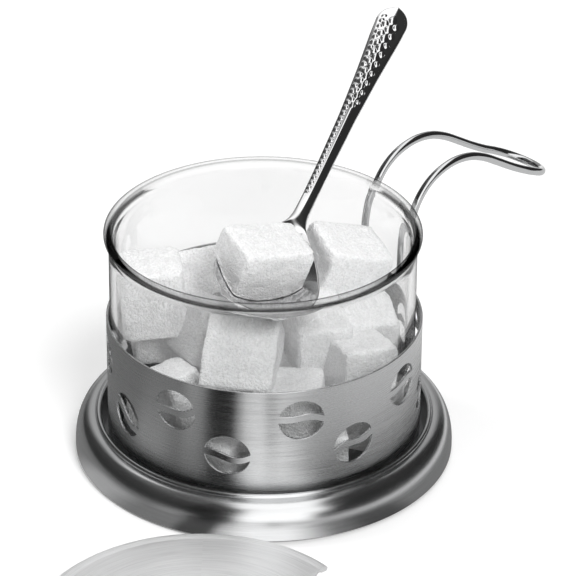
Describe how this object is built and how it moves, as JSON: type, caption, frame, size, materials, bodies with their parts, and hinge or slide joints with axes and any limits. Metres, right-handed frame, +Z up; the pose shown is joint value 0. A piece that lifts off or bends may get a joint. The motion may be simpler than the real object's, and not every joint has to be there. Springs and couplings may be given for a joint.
{
  "type": "sugar bowl with holder, spoon and lid",
  "caption": "Glass sugar bowl in a perforated steel holder with a domed foot ring and a bent-wire handle, with a leaning spoon and a notched lid with a knob.",
  "frame": {"origin": "centre of the flat underside of the holder's base plate, on the table plane", "axes": "+Z up; +X to the right and -Y towards the side where the lid lies; the wire handle points 39 degrees from +X towards +Y"},
  "size_m": [0.1316, 0.2206, 0.0905],
  "materials": {
    "satin_steel": "satin stainless steel, turned finish running round the part",
    "brushed_band": "stainless sheet brushed round the band",
    "polished_wire": "polished stainless rod",
    "clear_glass": "clear heat-resistant glass with a fire-polished rim",
    "polished_spoon": "mirror-polished stainless steel",
    "brushed_lid": "stainless sheet with a fine turned brushing",
    "polished_knob": "polished stainless steel"
  },
  "bodies": {
    "holder": {"base_plate": "satin_steel", "foot_ring": "satin_steel", "perforated_band": "brushed_band", "handle_wire": "polished_wire"},
    "glass": {"glass_insert": "clear_glass"},
    "spoon": {"spoon": "polished_spoon"},
    "lid": {"lid_plate": "brushed_lid", "lid_locating_ring": "satin_steel", "lid_knob": "polished_knob", "lid_knob_screw": "satin_steel"}
  },
  "joints": [
    {"name": "glass_lift", "type": "slide", "parent": "holder", "child": "glass", "axis": [0, 0, 1], "range_m": [0, 0.07]},
    {"name": "spoon_lift", "type": "slide", "parent": "glass", "child": "spoon", "axis": [0, 0, 1], "range_m": [0, 0.06]},
    {"name": "lid_lift", "type": "slide", "parent": "holder", "child": "lid", "axis": [0, 0, 1], "range_m": [0, 0.08]}
  ]
}
